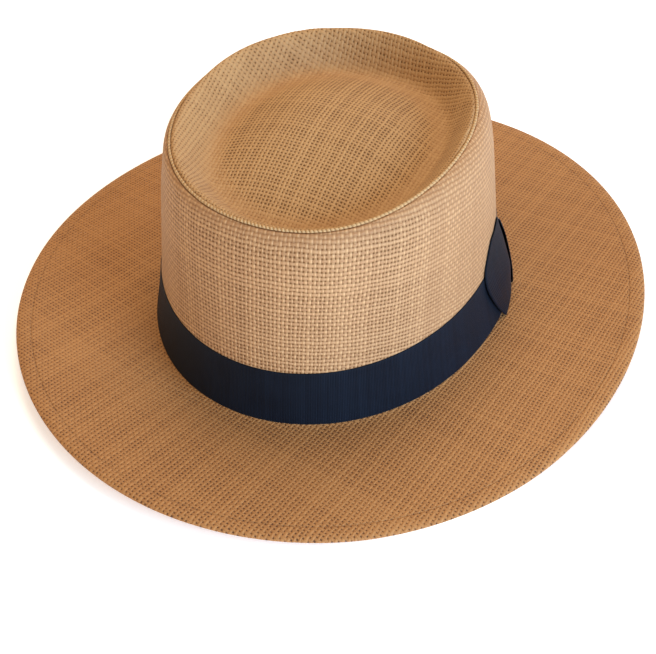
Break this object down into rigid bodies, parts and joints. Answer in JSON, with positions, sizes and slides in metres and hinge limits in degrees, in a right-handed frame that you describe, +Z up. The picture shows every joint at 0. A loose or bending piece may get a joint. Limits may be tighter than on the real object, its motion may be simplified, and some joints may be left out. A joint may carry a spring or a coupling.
{
  "type": "wide-brim sun hat",
  "caption": "Woven straw sun hat with a wide waved brim, a flat-sided crown with a sunken domed top, a dark ribbon band and a flat side bow.",
  "frame": {"origin": "on the surface the hat rests on, under the middle of the brim", "axes": "+Z up; -Y is the front of the hat; +X is the wearer's left, where the bow is"},
  "size_m": [0.313, 0.3466, 0.1142],
  "materials": {
    "brim_straw": "plain weave of honey-brown paper straw, matt",
    "crown_straw": "plain weave of light tan paper straw, matt",
    "ribbon": "dark navy ribbed ribbon with a faint sheen"
  },
  "bodies": {
    "root": {"brim": "brim_straw", "crown_side": "crown_straw", "crown_tip": "crown_straw", "hat_band": "ribbon", "bow_front_loop": "ribbon", "bow_rear_loop": "ribbon", "bow_knot": "ribbon"}
  },
  "joints": []
}
